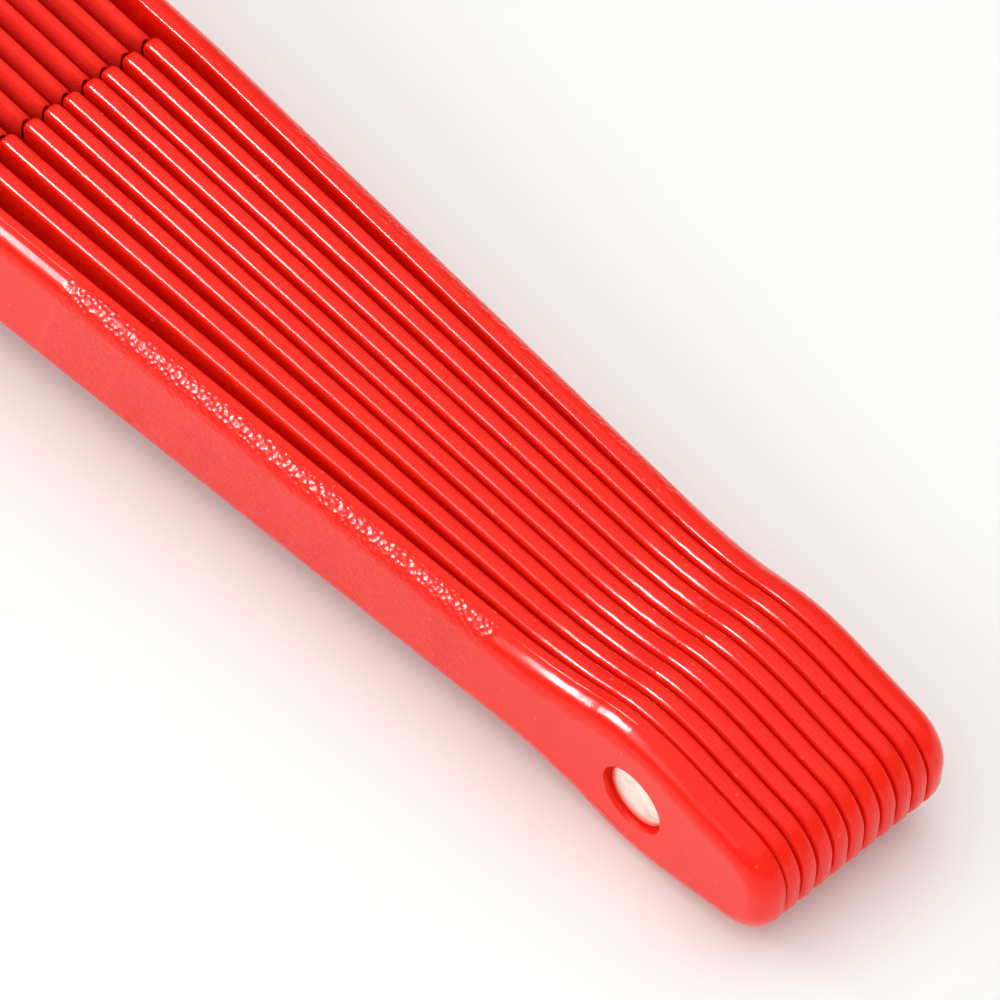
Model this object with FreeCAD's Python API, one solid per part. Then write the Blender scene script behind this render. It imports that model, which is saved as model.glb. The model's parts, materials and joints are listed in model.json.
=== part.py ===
import FreeCAD, Part
import math
import os

os.makedirs("parts", exist_ok=True)
V = FreeCAD.Vector

# A folding hand fan, closed and lying on the lower edges of its blades.
# u runs from the pivot towards the leaf (it becomes -X), y runs through the stack
# from the near guard to the far guard, z is up.  All lengths are in mm.

# ---- driving dimensions -------------------------------------------------------
RIB_COUNT = 9             # thin inner blades between the two guards
BLADE_LENGTH = 207.0      # pivot to the outer end of a guard
HEAD_LENGTH = 15.7        # pivot to the rounded tip behind it
HEAD_HALF = 7.82          # half height of the bulb around the pivot, once it is rounded
HEAD_SIDE = 4.9           # corners of the bulb's side view, rounded by the radii below
HEAD_TOP = 8.35
HEAD_ROUND = 5.0
BULB_ROUND = 20.0
WAIST_U = 11.0            # the narrowest place, between the bulb and the handle
WAIST_HALF = 5.62
WAIST_ROUND = 40.0
SHOULDER_U = 85.5         # where handle ends and leaf begins
SHOULDER_HALF = 7.0
GUARD_THICK = 2.8
GUARD_ROUND = 2.1         # outer long edges of a guard
RIB_THICK = 1.66
RIB_ROUND = 0.52
PIVOT_PITCH = 1.85        # rib to rib at the pivot
SLAT_THICK = 0.7          # the part of a rib that carries the leaf
SLAT_END_U = 200.0
SLAT_HALF_IN = 2.5
SLAT_HALF_OUT = 1.9
LEAF_IN = 86.1            # inner and outer radius of the leaf
LEAF_OUT = 204.5
PANEL_HALF_DEG = 3.95     # half the angle that one pleat covers
GUARD_END_HALF = 14.6
GUARD_END_CORNER = 5.0
GUARD_END_LOW = 14.3      # how far the rounded end reaches below the blade's middle line
FLARE_ROUND = 90.0        # where the guard starts to widen
SHOULDER_ROUND = 1.0
CLOTH_THICK = 0.25
GLUE_GAP = 0.02
RIVET_R = 1.5
RIVET_HOLE_R = 1.55
RIVET_HEAD_R = 3.0
RIVET_DOME = 0.5
RIVET_RIM = 0.25
RECESS_R = 3.43
RECESS_DEPTH = 0.9
BEND_R = 120.0            # how softly a blade bends out of the stack

# Where each blade runs: at the pivot and in the leaf.  The guards are given by their
# inner faces, the ribs by their middle planes.
NEAR_Y = (2.8, -1.65)
FAR_Y = (19.5, 22.9)
RIB_LEAF_Y = (1.0, 4.0, 6.8, 9.2, 11.4, 13.8, 15.9, 18.4, 20.85)
SPLAY_U = 5.0             # the blades are parallel up to here
SPLAY_END_U = 82.0        # and parallel again from here on

# The closed fan rests on the bulb and on the outer corners of the guards.
TILT = math.atan((GUARD_END_LOW - HEAD_HALF) / (BLADE_LENGTH - GUARD_END_CORNER))


def vec(u, y, z=0.0):
    return V(-u, y, z)


def bent(points, radii):
    """Straight edges through the points, with a tangent arc of the given radius at each inner one."""
    edges = []
    start = points[0]
    for i in range(1, len(points) - 1):
        back = (points[i - 1] - points[i]).normalize()
        ahead = (points[i + 1] - points[i]).normalize()
        turn = math.pi - back.getAngle(ahead)
        if turn < 0.0005:
            continue
        radius = radii[i - 1]
        a = points[i] + back * (radius * math.tan(turn / 2))
        b = points[i] + ahead * (radius * math.tan(turn / 2))
        mid = points[i] + (back + ahead).normalize() * (radius / math.cos(turn / 2) - radius)
        edges.append(Part.makeLine(start, a))
        edges.append(Part.Arc(a, mid, b).toShape())
        start = b
    edges.append(Part.makeLine(start, points[-1]))
    return edges


def plan_path(ys, offset):
    """Lines and soft arcs, seen from above, from the head to the outer end of one blade."""
    us = (-HEAD_LENGTH - 3.0, SPLAY_U, SPLAY_END_U, BLADE_LENGTH + 3.0)
    heights = (ys[0], ys[0], ys[1], ys[1])
    return bent([vec(u, y + offset) for u, y in zip(us, heights)], [BEND_R] * 2)


def plan_band(ys, low, high):
    """A tall wall that follows one blade's line, between two offsets from it."""
    near = plan_path(ys, low)
    far = plan_path(ys, high)
    ends = []
    for k in (0, -1):
        corner = 0 if k == 0 else 1
        ends.append(Part.makeLine(near[k].Vertexes[corner].Point, far[k].Vertexes[corner].Point))
    wire = Part.Wire(Part.__sortEdges__(near + far + ends))
    face = Part.Face(wire)
    face.translate(V(0, 0, -25))
    return face.extrude(V(0, 0, 50))


def loop(points):
    """Straight edges through the points given as (u, z)."""
    return [Part.makeLine(vec(a[0], 0, a[1]), vec(b[0], 0, b[1])) for a, b in zip(points, points[1:])]


def side_plate(edges, low=-12.0, high=40.0):
    """The side view of a blade, carried right through the stack."""
    face = Part.Face(Part.Wire(Part.__sortEdges__(edges)))
    face.translate(V(0, low, 0))
    return face.extrude(V(0, high - low, 0))


def outline(end_points, end_radii):
    """The closed side view of a blade: bulb, waist and handle, then the given outer end."""
    upper = [(-HEAD_LENGTH, HEAD_SIDE), (0.8, HEAD_TOP), (WAIST_U, WAIST_HALF)] + end_points
    radii = [HEAD_ROUND, BULB_ROUND, WAIST_ROUND] + end_radii
    points = [(-HEAD_LENGTH, 0)] + upper + [(u, -z) for u, z in reversed(upper)] + [(-HEAD_LENGTH, 0)]
    return bent([vec(u, 0, z) for u, z in points], radii + radii[::-1])


def guard_outline():
    """The handle, then a flare that covers the folded leaf."""
    ends = [(SHOULDER_U, SHOULDER_HALF), (BLADE_LENGTH, GUARD_END_HALF)]
    return outline(ends, [FLARE_ROUND, GUARD_END_CORNER])


def handle_outline():
    """The thick end of a rib, from its bulb to the shoulder."""
    return outline([(SHOULDER_U, SHOULDER_HALF)], [SHOULDER_ROUND])


def slat_outline():
    """The thin end of a rib: a long tapering strip with a round tip."""
    u0 = SHOULDER_U - 3.0
    edges = loop([(SLAT_END_U, SLAT_HALF_OUT), (u0, SLAT_HALF_IN), (u0, -SLAT_HALF_IN), (SLAT_END_U, -SLAT_HALF_OUT)])
    top = vec(SLAT_END_U, 0, SLAT_HALF_OUT)
    low = vec(SLAT_END_U, 0, -SLAT_HALF_OUT)
    edges.append(Part.Arc(top, vec(SLAT_END_U + SLAT_HALF_OUT, 0, 0), low).toShape())
    return edges


def leaf_outline():
    """One pleat of the leaf, seen from the side: a slice of a ring with straight sides."""
    a = math.radians(PANEL_HALF_DEG)
    inner = [vec(LEAF_IN * math.cos(t), 0, LEAF_IN * math.sin(t)) for t in (a, 0, -a)]
    outer = [vec(LEAF_OUT * math.cos(t), 0, LEAF_OUT * math.sin(t)) for t in (a, 0, -a)]
    edges = [Part.Arc(*inner).toShape(), Part.Arc(*outer).toShape()]
    edges.append(Part.makeLine(inner[0], outer[0]))
    edges.append(Part.makeLine(inner[2], outer[2]))
    return edges


def rounded(solid, radius, test):
    """Fillet the long edges that the test picks out."""
    picked = [e for e in solid.Edges if test(e)]
    return solid.makeFillet(radius, picked)


def line_y(ys, u):
    """Height in the stack of a blade's own line at u, without the soft bends."""
    if u <= SPLAY_U:
        return ys[0]
    if u <= SPLAY_END_U:
        return ys[0] + (ys[1] - ys[0]) * (u - SPLAY_U) / (SPLAY_END_U - SPLAY_U)
    return ys[1]


def on_side(edge, ys, offset):
    """True for an edge that lies all along one face of a blade."""
    first, last = edge.ParameterRange
    for k in range(5):
        p = edge.valueAt(first + (last - first) * k / 4)
        if abs(p.y - line_y(ys, -p.x) - offset) > 0.25:
            return False
    return edge.Length > 0.2


def bored(solid, radius, y0, y1):
    """Drill along the pivot axis."""
    return solid.cut(Part.makeCylinder(radius, y1 - y0, V(0, y0, 0), V(0, 1, 0)))


def make_guard(ys, outward):
    """outward is -1 for the near guard and +1 for the far guard."""
    low, high = sorted((0.0, outward * GUARD_THICK))
    blade = plan_band(ys, low, high).common(side_plate(guard_outline()))
    blade = rounded(blade, GUARD_ROUND, lambda e: on_side(e, ys, outward * GUARD_THICK))
    blade = rounded(blade, 0.35, lambda e: on_side(e, ys, 0.0))
    blade = bored(blade, RIVET_HOLE_R, ys[0] - 5, ys[0] + 5)
    face = ys[0] + outward * GUARD_THICK
    floor = face - outward * RECESS_DEPTH
    return bored(blade, RECESS_R, min(face + outward, floor), max(face + outward, floor))


def make_rib(ys):
    half = RIB_THICK / 2
    handle = plan_band(ys, -half, half).common(side_plate(handle_outline()))
    handle = rounded(handle, RIB_ROUND, lambda e: on_side(e, ys, half) or on_side(e, ys, -half))
    handle = bored(handle, RIVET_HOLE_R, ys[0] - 3, ys[0] + 3)
    slat = plan_band(ys, -SLAT_THICK / 2, SLAT_THICK / 2).common(side_plate(slat_outline()))
    return handle.fuse(slat).removeSplitter()


def make_cloth(ys, centre):
    half = CLOTH_THICK / 2
    return plan_band(ys, centre - half, centre + half).common(side_plate(leaf_outline()))


def dome(y_base, outward, shank_to):
    """A domed rivet head with a short shank, both around the pivot axis."""
    rim = RIVET_RIM
    r = RIVET_HEAD_R
    ball = (r * r + RIVET_DOME * RIVET_DOME) / (2 * RIVET_DOME)
    top = V(0, y_base + outward * (rim + RIVET_DOME), 0)
    bend = math.asin(r / ball) / 2
    mid = V(ball * math.sin(bend), y_base + outward * (rim + RIVET_DOME - ball + ball * math.cos(bend)), 0)
    edge = V(r, y_base + outward * rim, 0)
    base = V(r, y_base, 0)
    centre = V(0, y_base, 0)
    wire = Part.Wire([Part.makeLine(centre, base), Part.makeLine(base, edge),
                      Part.Arc(edge, mid, top).toShape(), Part.makeLine(top, centre)])
    head = Part.Face(wire).revolve(V(0, 0, 0), V(0, 1, 0), 360)
    low, high = sorted((y_base, shank_to))
    return head, Part.makeCylinder(RIVET_R, high - low, V(0, low, 0), V(0, 1, 0))


# ---- the blades ---------------------------------------------------------------
parts = {}
rib_lines = []
for i in range(RIB_COUNT):
    pivot_y = NEAR_Y[0] + PIVOT_PITCH / 2 + 0.02 + i * PIVOT_PITCH
    rib_lines.append((pivot_y, RIB_LEAF_Y[i]))

parts["guard_near"] = make_guard(NEAR_Y, -1)
for i, ys in enumerate(rib_lines):
    parts["rib_%02d" % (i + 1)] = make_rib(ys)
parts["guard_far"] = make_guard(FAR_Y, 1)

# ---- the leaf: one glued panel on each blade, one free pleat in each gap -------
CLOTH_SIDE = SLAT_THICK / 2 + GLUE_GAP + CLOTH_THICK / 2
parts["leaf_panel_00"] = make_cloth(NEAR_Y, GLUE_GAP + CLOTH_THICK / 2)
for i, ys in enumerate(rib_lines):
    parts["leaf_panel_%02d" % (i + 1)] = make_cloth(ys, -CLOTH_SIDE)
parts["leaf_panel_%02d" % (RIB_COUNT + 1)] = make_cloth(FAR_Y, -GLUE_GAP - CLOTH_THICK / 2)

far_of = [tuple(y + GLUE_GAP + CLOTH_THICK for y in NEAR_Y)]
far_of += [tuple(y + SLAT_THICK / 2 for y in ys) for ys in rib_lines]
near_of = [tuple(y - CLOTH_SIDE - CLOTH_THICK / 2 for y in ys) for ys in rib_lines]
near_of.append(tuple(y - GLUE_GAP - CLOTH_THICK for y in FAR_Y))
for i in range(RIB_COUNT + 1):
    middle = tuple((a + b) / 2 for a, b in zip(far_of[i], near_of[i]))
    parts["leaf_pleat_%02d" % (i + 1)] = make_cloth(middle, 0.0)

# ---- the rivet and its cap ----------------------------------------------------
near_floor = NEAR_Y[0] - GUARD_THICK + RECESS_DEPTH
far_floor = FAR_Y[0] + GUARD_THICK - RECESS_DEPTH
head, shank = dome(near_floor, -1, far_floor - 0.6)
parts["pivot_rivet"] = head.fuse(shank).removeSplitter()
cap_head, cap_barrel = dome(far_floor + 0.03, 1, far_floor - 0.5)
parts["rivet_cap"] = cap_head.fuse(cap_barrel).removeSplitter()

# ---- lay the fan down and put the origin under the middle of its box ----------
for shape in parts.values():
    shape.rotate(V(0, 0, 0), V(0, 1, 0), math.degrees(TILT))
box = FreeCAD.BoundBox()
for shape in parts.values():
    box.add(shape.optimalBoundingBox(False, False))
shift = V(-box.Center.x, -box.Center.y, -box.ZMin)
print("pivot at", shift.x, shift.y, shift.z, "tilt", math.degrees(TILT))
print("size", box.XLength, box.YLength, box.ZLength)
for node, shape in parts.items():
    shape.translate(shift)
    shape.exportStep("parts/%s.step" % node)
    print(node, shape.isValid(), len(shape.Solids), round(shape.Volume, 1))
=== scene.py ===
import json
import math

import bpy
from mathutils import Matrix, Vector
from mathutils.bvhtree import BVHTree


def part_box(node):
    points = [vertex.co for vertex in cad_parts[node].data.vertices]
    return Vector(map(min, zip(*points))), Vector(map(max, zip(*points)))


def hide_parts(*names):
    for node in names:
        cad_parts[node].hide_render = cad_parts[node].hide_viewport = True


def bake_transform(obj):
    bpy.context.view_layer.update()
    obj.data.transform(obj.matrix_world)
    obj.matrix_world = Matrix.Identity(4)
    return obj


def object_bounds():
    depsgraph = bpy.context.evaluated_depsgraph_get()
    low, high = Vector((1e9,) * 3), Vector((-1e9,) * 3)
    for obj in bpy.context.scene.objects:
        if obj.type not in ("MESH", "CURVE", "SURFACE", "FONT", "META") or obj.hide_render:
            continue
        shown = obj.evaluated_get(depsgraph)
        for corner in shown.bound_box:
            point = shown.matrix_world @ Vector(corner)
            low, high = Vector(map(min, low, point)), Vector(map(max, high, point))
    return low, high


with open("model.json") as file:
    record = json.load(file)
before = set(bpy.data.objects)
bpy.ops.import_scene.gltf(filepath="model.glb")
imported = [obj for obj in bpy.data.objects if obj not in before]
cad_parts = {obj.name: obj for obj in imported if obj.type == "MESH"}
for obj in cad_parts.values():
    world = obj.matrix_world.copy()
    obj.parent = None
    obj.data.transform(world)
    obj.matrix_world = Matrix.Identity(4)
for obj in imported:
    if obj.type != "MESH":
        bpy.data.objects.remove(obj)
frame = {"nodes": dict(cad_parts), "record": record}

CAD_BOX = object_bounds()
NODES = frame["nodes"]
RECORD = frame["record"]
MM = 0.001

# The hinge line, and the lean that the closed fan has when it rests on its bulb and its wide end.
PIVOT = Vector(RECORD["behaviour"]["joints"][0]["pos_m"])
FACE = Vector(RECORD["mounts"][0]["pos_m"])
LEAN = math.atan2(FACE.z - PIVOT.z, PIVOT.x - FACE.x)

RIB_NAMES = sorted(n for n in NODES if n.startswith("rib_"))
PANEL_NAMES = sorted(n for n in NODES if n.startswith("leaf_panel_"))
PLEAT_NAMES = sorted(n for n in NODES if n.startswith("leaf_pleat_"))


# ---- node material helpers ----------------------------------------------------------

def new_material(name):
    mat = bpy.data.materials.new(name)
    mat.use_nodes = True
    return mat, mat.node_tree


def put(tree, socket, value):
    """Link a socket to an input, or set the input to a plain value."""
    if isinstance(value, bpy.types.NodeSocket):
        tree.links.new(value, socket)
    else:
        socket.default_value = value


def add(tree, kind, inputs=None, **settings):
    node = tree.nodes.new(kind)
    for key, value in settings.items():
        setattr(node, key, value)
    for key, value in (inputs or {}).items():
        put(tree, node.inputs[key], value)
    return node


def calc(tree, operation, a, b=0.0, c=0.0):
    node = add(tree, "ShaderNodeMath", operation=operation)
    for socket, value in zip(node.inputs, (a, b, c)):
        put(tree, socket, value)
    return node.outputs[0]


def plus(tree, a, b):
    return calc(tree, "ADD", a, b)


def minus(tree, a, b):
    return calc(tree, "SUBTRACT", a, b)


def times(tree, a, b):
    return calc(tree, "MULTIPLY", a, b)


def wave(tree, value, pitch):
    return calc(tree, "SINE", times(tree, value, 2 * math.pi / pitch))


def ramp(tree, value, low, high, to_low=0.0, to_high=1.0, style="SMOOTHSTEP"):
    """Map the range low..high to to_low..to_high and clamp outside it."""
    inputs = {"Value": value, "From Min": low, "From Max": high, "To Min": to_low, "To Max": to_high}
    return add(tree, "ShaderNodeMapRange", inputs, interpolation_type=style).outputs["Result"]


def mix_colour(tree, factor, a, b):
    node = add(tree, "ShaderNodeMix", data_type="RGBA")
    for key, kind, value in (("Factor", "VALUE", factor), ("A", "RGBA", a), ("B", "RGBA", b)):
        put(tree, next(s for s in node.inputs if s.name == key and s.type == kind), value)
    return next(s for s in node.outputs if s.type == "RGBA")


def noise(tree, vector, scale, detail=2.0, roughness=0.5):
    inputs = {"Vector": vector, "Scale": scale, "Detail": detail, "Roughness": roughness}
    return add(tree, "ShaderNodeTexNoise", inputs).outputs["Fac"]


def cells(tree, vector, scale, randomness=1.0):
    """The distance to the nearest of many scattered points."""
    inputs = {"Vector": vector, "Scale": scale, "Randomness": randomness}
    return add(tree, "ShaderNodeTexVoronoi", inputs, feature="F1").outputs["Distance"]


def mapped(tree, vector, **inputs):
    """The vector after a scale, a rotation and a shift, in that order."""
    return add(tree, "ShaderNodeMapping", {"Vector": vector, **inputs}).outputs[0]


def axes_of(tree, vector):
    return add(tree, "ShaderNodeSeparateXYZ", {"Vector": vector}).outputs


def object_coords(tree):
    return add(tree, "ShaderNodeTexCoord").outputs["Object"]


def blade_coords(tree):
    """Coordinates in mm: x along the blade from the pivot, y through the stack, z up."""
    from_pivot = mapped(tree, object_coords(tree), Location=-PIVOT)
    level = mapped(tree, from_pivot, Rotation=(0, -LEAN, 0), Scale=(1000, 1000, 1000))
    return mapped(tree, level, Scale=(-1, 1, 1))


def bumped(tree, height, strength):
    """A normal from a height in mm."""
    inputs = {"Height": height, "Strength": strength, "Distance": MM}
    return add(tree, "ShaderNodeBump", inputs).outputs[0]


def shade(tree, inputs):
    for key, value in inputs.items():
        put(tree, tree.nodes["Principled BSDF"].inputs[key], value)


# ---- moulded plastic, lengths in mm -------------------------------------------------

RED = (0.89, 0.0170, 0.0060, 1)
# the deep red is both the random darker blotches and the painted shade in the grain's pits
RED_DEEP_AND_PIT_SHADE = (0.85, 0.0135, 0.0048, 1)
RED_DUSTY = (0.95, 0.12, 0.085, 1)
SEAM_RIB = 0.83           # depth of the parting line behind a rib's near side
SEAM_GUARD = 0.9          # and behind a guard's inner face
SEAM_EDGES = (0.02, 0.09)    # the line fades out over this range to either side
SEAM_HEIGHT = 0.015
DRAFT_RIB = 0.07          # how fast an edge falls off on both sides of the parting line
DRAFT_GUARD = 0.02
GRAIN_START = (18.9, 19.7)   # the grain fades in over this range from the pivot
GRAIN_STOP = (70.6, 71.6)    # and out over this one
GRAIN_SLANT = 0.28        # lean of the grain's two ends
GRAIN_WOBBLE = 0.8
GRAIN_EDGE = 0.12         # the grain starts this far outside the parting line
GRAIN_DENSITY = (1.75, 2.3, 2.4)
GRAIN_TURN = (0.0, 0.35, 0.0)
GRAIN_HEIGHT = 0.075


def plastic_grain(tree, co, depth):
    """Where a guard is grained, and the height of its grain, both from 0 to 1."""
    axes = axes_of(tree, co)
    slant = calc(tree, "MULTIPLY_ADD", axes["Z"], GRAIN_SLANT, axes["X"])
    slant = plus(tree, slant, times(tree, noise(tree, co, scale=0.35), GRAIN_WOBBLE))
    start = ramp(tree, slant, *GRAIN_START)
    stop = ramp(tree, slant, *GRAIN_STOP, 1.0, 0.0)
    outside = ramp(tree, depth, SEAM_GUARD, SEAM_GUARD + GRAIN_EDGE)
    where = times(tree, times(tree, start, stop), outside)
    leather = mapped(tree, co, Rotation=GRAIN_TURN, Scale=GRAIN_DENSITY)
    pebbles = cells(tree, leather, scale=1.0, randomness=0.75)
    return where, ramp(tree, pebbles, 0.0, 0.72, style="LINEAR")


def plastic(name, guard):
    """Glossy moulded plastic with sink marks, dust specks, hairline scratches, a parting line and
    painted shade darkening the grain's pits.
    """
    mat, tree = new_material(name)
    co = blade_coords(tree)
    blotch = noise(tree, co, scale=0.11, detail=3.0, roughness=0.55)
    sink = noise(tree, mapped(tree, co, Scale=(0.35, 3.0, 3.0)), scale=1.0)
    speck = ramp(tree, cells(tree, co, scale=0.42), 0.045, 0.09, 1.0, 0.0)
    hair_co = mapped(tree, co, Rotation=(0.0, 0.06, 0.0), Scale=(0.05, 2.2, 5.0))
    scratch = ramp(tree, noise(tree, hair_co, scale=1.6, detail=4.0, roughness=0.7), 0.67, 0.74)

    colour = mix_colour(tree, ramp(tree, blotch, 0.35, 0.7), RED, RED_DEEP_AND_PIT_SHADE)
    colour = mix_colour(tree, times(tree, speck, 0.5), colour, RED_DUSTY)
    height = plus(tree, times(tree, sink, 0.010), times(tree, speck, 0.02))
    height = minus(tree, height, times(tree, scratch, 0.002))
    rough = plus(tree, 0.15, times(tree, scratch, 0.12))
    rough = plus(tree, rough, times(tree, ramp(tree, blotch, 0.3, 0.8), 0.05))

    # the mould's parting line, and the draft of the edge on both sides of it
    depth = add(tree, "ShaderNodeAttribute", attribute_name="depth").outputs["Fac"]
    off_seam = calc(tree, "ABSOLUTE", minus(tree, depth, SEAM_GUARD if guard else SEAM_RIB))
    seam = ramp(tree, off_seam, *SEAM_EDGES, 1.0, 0.0)
    height = plus(tree, height, times(tree, seam, SEAM_HEIGHT))
    height = minus(tree, height, times(tree, off_seam, DRAFT_GUARD if guard else DRAFT_RIB))

    if guard:
        grained, grain = plastic_grain(tree, co, depth)
        height = plus(tree, height, times(tree, times(tree, grain, GRAIN_HEIGHT), grained))
        rough = plus(tree, rough, times(tree, grained, 0.05))
        # painted shade: the centres of the grain's pits are darkened, standing in for the shade that
        # falls inside them
        pits = times(tree, grained, ramp(tree, grain, 0.12, 0.5, 1.0, 0.0))
        colour = mix_colour(tree, pits, colour, RED_DEEP_AND_PIT_SHADE)
    shade(tree, {
        "Base Color": colour,
        "Normal": bumped(tree, height, 1.0),
        "Roughness": rough,
        "IOR": 1.36,
        "Subsurface Weight": 0.5,
        "Subsurface Radius": (1.0, 0.06, 0.03),
        "Subsurface Scale": 2.0 * MM,
    })
    return mat


# ---- cloth, metal and table, lengths in mm ------------------------------------------

CLOTH_RED = (0.93, 0.021, 0.010, 1)
CLOTH_DEEP = (0.84, 0.013, 0.007, 1)
CLOTH_THREAD = (0.95, 0.048, 0.026, 1)
THREAD_PITCH = 0.32
NICKEL = (0.95, 0.90, 0.82, 1)
NICKEL_STAINED = (0.80, 0.73, 0.63, 1)
TURNING_PITCH = 0.11


def cloth_material():
    """Thin woven cloth, dyed red, matt, with a faint slub and lighter threads."""
    mat, tree = new_material("leaf_cloth")
    co = blade_coords(tree)
    axes = axes_of(tree, co)
    warp = wave(tree, axes["X"], THREAD_PITCH)
    weft = wave(tree, plus(tree, axes["Z"], axes["Y"]), THREAD_PITCH)
    weave = times(tree, warp, weft)
    slub_co = mapped(tree, co, Scale=(0.12, 1.2, 1.2))
    slub = noise(tree, slub_co, scale=1.0, detail=4.0, roughness=0.6)
    colour = mix_colour(tree, ramp(tree, slub, 0.3, 0.75), CLOTH_RED, CLOTH_DEEP)
    colour = mix_colour(tree, ramp(tree, weave, -1.0, 1.0, 0.0, 0.22), colour, CLOTH_THREAD)
    height = plus(tree, times(tree, weave, 0.02), times(tree, slub, 0.10))
    shade(tree, {
        "Base Color": colour,
        "Normal": bumped(tree, height, 0.7),
        "Roughness": 0.82,
        "Specular IOR Level": 0.12,
        "Sheen Weight": 0.02,
        "Sheen Roughness": 0.5,
        "Sheen Tint": (1.0, 0.35, 0.3, 1),
    })
    return mat


def metal_material():
    """Nickel-plated rivet: satin, finely turned, with small pits and a little tarnish."""
    mat, tree = new_material("rivet_nickel")
    co = blade_coords(tree)
    axes = axes_of(tree, co)
    square = plus(tree, calc(tree, "POWER", axes["X"], 2.0), calc(tree, "POWER", axes["Z"], 2.0))
    rings = wave(tree, calc(tree, "SQRT", square), TURNING_PITCH)
    stain = noise(tree, co, scale=0.9, detail=4.0)
    pits = ramp(tree, cells(tree, co, scale=2.4), 0.0, 0.12)
    height = plus(tree, times(tree, rings, 0.0015), times(tree, pits, 0.0012))
    shade(tree, {
        "Base Color": mix_colour(tree, ramp(tree, stain, 0.35, 0.75), NICKEL, NICKEL_STAINED),
        "Normal": bumped(tree, height, 0.8),
        "Roughness": plus(tree, 0.24, times(tree, stain, 0.14)),
        "Metallic": 1.0,
    })
    return mat


def floor_material():
    """A pale matt table top with the faintest mottling."""
    mat, tree = new_material("pale_table")
    mottling = noise(tree, object_coords(tree), scale=24.0, detail=3.0)
    shade(tree, {
        "Base Color": mix_colour(tree, mottling, (0.825, 0.845, 0.83, 1), (0.845, 0.865, 0.85, 1)),
        "Roughness": 0.75,
        "Specular IOR Level": 0.2,
    })
    return mat


# ---- the CAD nodes that stay: blades and rivet --------------------------------------

RAY_START = 0.1           # rays along Y start this far to the side, in m
RAY_RISE = 0.6 * MM       # and this far above the blade's middle line
RIVET_RISE = 3.8 * MM     # or this far, to clear the hole near the rivet
RIVET_ZONE = 5 * MM
TIP_INSET = 2 * MM


def surface_of(obj):
    points = [v.co for v in obj.data.vertices]
    return BVHTree.FromPolygons(points, [p.vertices for p in obj.data.polygons])


def dress(node, material):
    obj = NODES[node]
    obj.data.materials.clear()
    obj.data.materials.append(material)
    return obj


def mark_depth(obj, from_far):
    """Store how many mm each point lies behind one side of its blade; the parting line uses it."""
    surface = surface_of(obj)
    start, way = (RAY_START, -1) if from_far else (-RAY_START, 1)
    low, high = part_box(obj.name)
    depth = []
    for v in obj.data.vertices:
        x = min(max(v.co.x, low[0] + TIP_INSET), high[0] - TIP_INSET)
        middle = PIVOT.z + (PIVOT.x - x) * math.tan(LEAN)
        z = middle + (RIVET_RISE if abs(x - PIVOT.x) < RIVET_ZONE else RAY_RISE)
        hit = surface.ray_cast(Vector((x, start, z)), Vector((0, way, 0)))[0]
        depth.append((v.co.y - hit.y) * way / MM if hit else 0.0)
    attribute = obj.data.attributes.new("depth", "FLOAT", "POINT")
    attribute.data.foreach_set("value", depth)


guard_mat = plastic("guard_plastic_red", True)
rib_mat = plastic("rib_plastic_red", False)
cloth_mat = cloth_material()
metal_mat = metal_material()

for name in ("guard_near", "guard_far"):
    mark_depth(dress(name, guard_mat), name == "guard_near")
for name in RIB_NAMES:
    mark_depth(dress(name, rib_mat), False)
for name in ("pivot_rivet", "rivet_cap"):
    dress(name, metal_mat)


# ---- the leaf: pleats folded between each blade and the next ------------------------

LEAF_IN = 85.75 * MM
LEAF_OUT = 204.5 * MM
LEAF_INSET = 0.5 * MM     # the glued cloth is measured this far inside the leaf's two edges
PANEL_HALF = math.radians(3.95)
CLOTH = 0.25 * MM
RINGS = 60                # rows of faces from the leaf's inner edge to its outer edge

FOLD_BULGE = 0.32 * MM    # how far the soft fold stands off the blade's cloth
FOLD_STEPS = 14
FOLD_FROM = 0.35          # the fold runs from this share of the pleat's half angle to all of it
FOLD_TOP = 0.6            # and stands off furthest at this share of its way
FLAT_SHARE = 0.2
PLEAT_STEPS = 30
PLEAT_CURVE = 1.8         # above 1, the free pleat stays longer beside the near blade's fold
PUFF = 0.16               # the folds stand this share higher at the leaf's inner edge
PUFF_LENGTH = 45 * MM     # and no higher from this far outside it
BLEND_AT = 0.16           # where both blades' cloth lines of a pleat are measured, in m from the pivot


def panel_line(node):
    """The middle plane of the glued cloth on one blade, as a function of the distance from the pivot."""
    surface = surface_of(NODES[node])

    def at(radius):
        r = min(max(radius, LEAF_IN + LEAF_INSET), LEAF_OUT - LEAF_INSET)
        x = PIVOT.x - r * math.cos(LEAN)
        z = PIVOT.z + r * math.sin(LEAN)
        hit = surface.ray_cast(Vector((x, -RAY_START, z)), Vector((0, 1, 0)))[0]
        return hit.y + CLOTH / 2
    return at


def ease(t):
    return t * t * (3 - 2 * t)


def fold_row(v):
    """A point of the soft fold over a blade, v from 0 to 1: its angle share, its offset, and no gap."""
    if v < FOLD_TOP:
        rise = v
        bulge = ease(v / FOLD_TOP)
    else:
        turn = (v - FOLD_TOP) / (1 - FOLD_TOP) * math.pi / 2
        rise = FOLD_TOP + (1 - FOLD_TOP) * math.sin(turn)
        bulge = math.cos(turn)
    return FOLD_FROM + (1 - FOLD_FROM) * rise, -bulge, 0.0


def fold_profile():
    """(angle share, offset, share of the gap) from the middle of one blade's cloth to the next's."""
    near = [(0.0, 0.0, 0.0), (FLAT_SHARE, 0.0, 0.0)]
    near += [fold_row(k / FOLD_STEPS) for k in range(FOLD_STEPS + 1)]
    ways = [k / PLEAT_STEPS for k in range(1, PLEAT_STEPS)]
    free = [(1 - 2 * ease(p ** PLEAT_CURVE), 0.0, p) for p in ways]
    far = [(-share, -bulge, 1.0) for share, bulge, _ in reversed(near)]
    return near + free + far


PROFILE = fold_profile()


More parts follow.
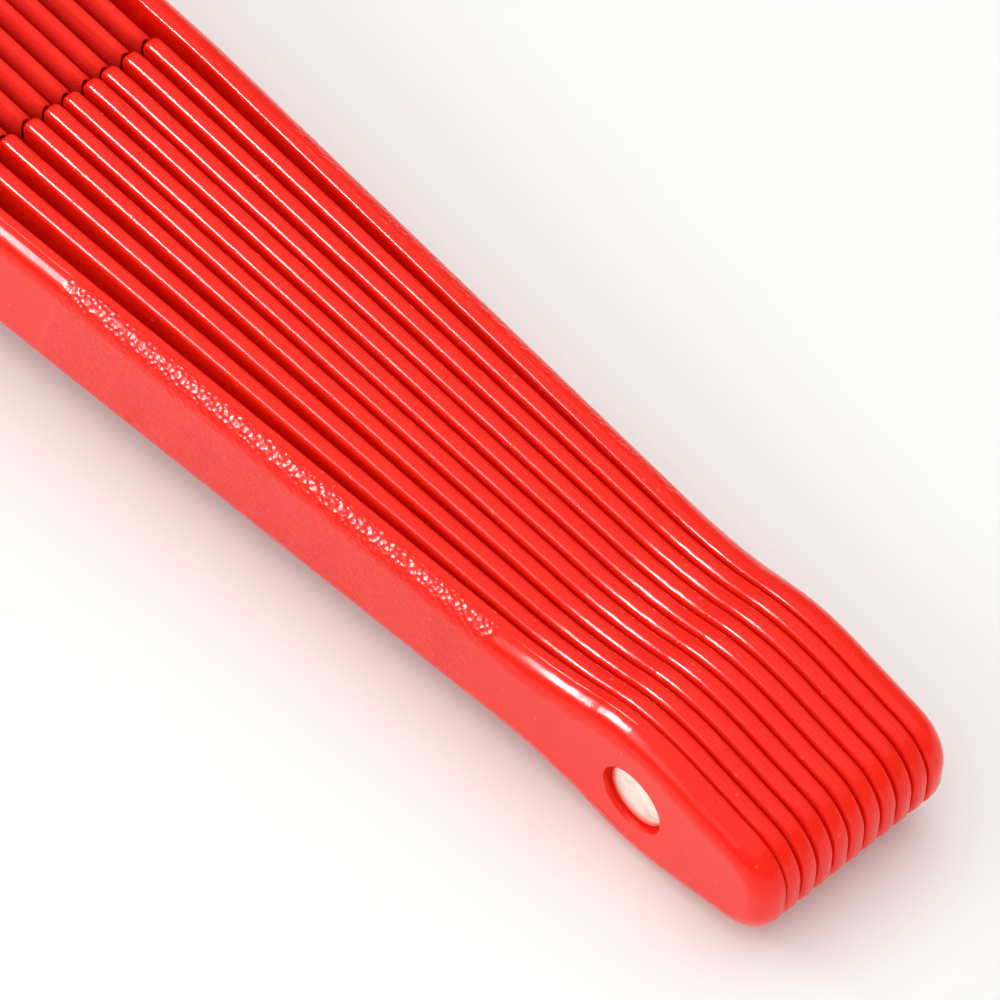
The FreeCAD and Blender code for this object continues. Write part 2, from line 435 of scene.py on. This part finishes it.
def make_pleat(index, line_a, line_b):
    """One gap's cloth: half the pleat on this blade, the free pleat and half the pleat on the next."""
    verts = []
    faces = []
    for i in range(RINGS + 1):
        r = LEAF_IN + (LEAF_OUT - LEAF_IN) * i / RINGS
        ya, yb = line_a(r), line_b(r)
        puff = 1 + PUFF * max(0.0, 1 - (r - LEAF_IN) / PUFF_LENGTH)
        for share, bulge, across in PROFILE:
            angle = LEAN + share * PANEL_HALF * puff
            y = ya + (yb - ya) * across + bulge * FOLD_BULGE
            verts.append((PIVOT.x - r * math.cos(angle), y, PIVOT.z + r * math.sin(angle)))
    width = len(PROFILE)
    for i in range(RINGS):
        for j in range(width - 1):
            a = i * width + j
            faces.append((a, a + 1, a + width + 1, a + width))
    mesh = bpy.data.meshes.new("leaf_fold_%02d" % index)
    mesh.from_pydata(verts, [], faces)
    mesh.polygons.foreach_set("use_smooth", [True] * len(faces))
    mesh.materials.append(cloth_mat)
    obj = bpy.data.objects.new("leaf_fold_%02d" % index, mesh)
    bpy.context.scene.collection.objects.link(obj)
    thick = obj.modifiers.new("cloth_thickness", "SOLIDIFY")
    thick.thickness = CLOTH
    thick.offset = 0.0
    return obj


lines = [panel_line(n) for n in PANEL_NAMES]
for i, pleat in enumerate(PLEAT_NAMES):
    piece = make_pleat(i + 1, lines[i], lines[i + 1])
    covered = [pleat, PANEL_NAMES[i]]
    if pleat == PLEAT_NAMES[-1]:
        covered.append(PANEL_NAMES[-1])
    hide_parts(*covered)
    y0, y1 = lines[i](BLEND_AT), lines[i + 1](BLEND_AT)
    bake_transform(piece)


# ---- table --------------------------------------------------------------------------

TABLE_SIZE = 4.0
TABLE_DROP = 0.00005      # keeps the table top just below the fan's lowest points

bpy.ops.mesh.primitive_plane_add(size=TABLE_SIZE, location=(0, 0, -TABLE_DROP))
floor = bpy.context.object
floor.name = "table_top"
floor.data.materials.append(floor_material())


# ---- camera -------------------------------------------------------------------------

AZIMUTH = math.radians(47.2)
ELEVATION = math.radians(52.4)
DISTANCE = 0.5
PICTURE = 1000.0          # the picture is taken to be this wide and high, in pixels
PIXELS_PER_M = 12000.0
AIM = Vector((PIVOT.x, CAD_BOX[0][1] + 5.0 * MM, PIVOT.z))
AIM_PIXEL = (636.0, 797.0)
SENSOR = 36.0


def turned(x_axis, y_axis, z_axis):
    return Matrix((x_axis, y_axis, z_axis)).transposed().to_4x4()


level = math.cos(ELEVATION)
right = Vector((math.cos(AZIMUTH), math.sin(AZIMUTH), 0))
forward = Vector((-math.sin(AZIMUTH) * level, math.cos(AZIMUTH) * level, -math.sin(ELEVATION)))
up = right.cross(forward)
across = (AIM_PIXEL[0] - PICTURE / 2) / PIXELS_PER_M
upward = (PICTURE / 2 - AIM_PIXEL[1]) / PIXELS_PER_M
EYE = AIM - forward * DISTANCE - right * across - up * upward

camera_data = bpy.data.cameras.new("camera")
camera_data.sensor_width = SENSOR
camera_data.lens = SENSOR * PIXELS_PER_M * DISTANCE / PICTURE
camera_data.clip_start = 0.01
camera = bpy.data.objects.new("camera", camera_data)
bpy.context.scene.collection.objects.link(camera)
camera.matrix_world = turned(right, up, -forward)
camera.location = EYE
bpy.context.scene.camera = camera


# ---- lights -------------------------------------------------------------------------

WHITE = (1, 1, 1)
SPLAY = 0.03              # how far the near blades turn away from the row's X axis, in radians
EDGE_LEAN = math.radians(32)    # the part of a blade's rounded edge that the strips light up
STRIP_REACH = 0.6


def soft_box(name, direction, distance, size, power, colour=WHITE, diffuse=True, glossy=True):
    """An area light at a distance from the middle of the table, aimed at it."""
    light = bpy.data.lights.new(name, "AREA")
    light.shape = "RECTANGLE"
    light.size, light.size_y = size
    light.energy = power
    light.color = colour
    obj = bpy.data.objects.new(name, light)
    bpy.context.scene.collection.objects.link(obj)
    way = Vector(direction).normalized()
    obj.location = way * distance
    obj.rotation_euler = way.to_track_quat("Z", "Y").to_euler()
    obj.visible_diffuse = diffuse
    obj.visible_glossy = glossy
    return obj


def mirror_box(name, u, size, power):
    """A light seen only as a highlight, along the blades' edges at u from the pivot."""
    spot = Vector((PIVOT.x - u, 0, PIVOT.z))
    side, top = math.sin(EDGE_LEAN), math.cos(EDGE_LEAN)
    normal = Vector((LEAN * top + SPLAY * side, -side, top)).normalized()
    to_eye = (EYE - spot).normalized()
    way = (2 * to_eye.dot(normal) * normal - to_eye).normalized()
    x_axis = (Vector((1, 0, 0)) - way * way.x).normalized()
    obj = soft_box(name, way, STRIP_REACH, size, power, diffuse=False)
    obj.matrix_world = turned(x_axis, way.cross(x_axis), way)
    obj.location = spot + way * STRIP_REACH


soft_box("overhead_fill", (0.0, 0.05, 1.0), 1.2, (2.2, 2.2), 20.2, glossy=False)
soft_box("front_fill", (-0.1, -1.0, 0.45), 1.2, (1.6, 0.9), 4.7, glossy=False)
soft_box("end_fill", (1.0, -0.15, 0.5), 1.2, (1.4, 0.8), 3.6, glossy=False)
soft_box("low_key", (-0.885, -0.354, 0.33), 1.5, (0.16, 0.16), 4.5, (1.0, 0.985, 0.96))
mirror_box("edge_strip", 97 * MM, (0.13, 0.26), 5.6)
mirror_box("edge_strip_soft", 48 * MM, (0.05, 0.18), 0.40)
soft_box("edge_glow", (-0.40, -0.62, 0.66), 0.8, (0.9, 0.35), 2.4, diffuse=False)
soft_box("top_glow", (0.0, 0.05, 1.0), 1.3, (2.4, 2.4), 11.0, (1.0, 0.95, 0.86), diffuse=False)

world = bpy.data.worlds.new("studio")
world.use_nodes = True
background = world.node_tree.nodes["Background"]
background.inputs["Color"].default_value = (1.0, 0.995, 0.985, 1)
background.inputs["Strength"].default_value = 0.25
bpy.context.scene.world = world

bpy.context.scene.view_settings.view_transform = "Standard"
bpy.context.scene.view_settings.look = "None"
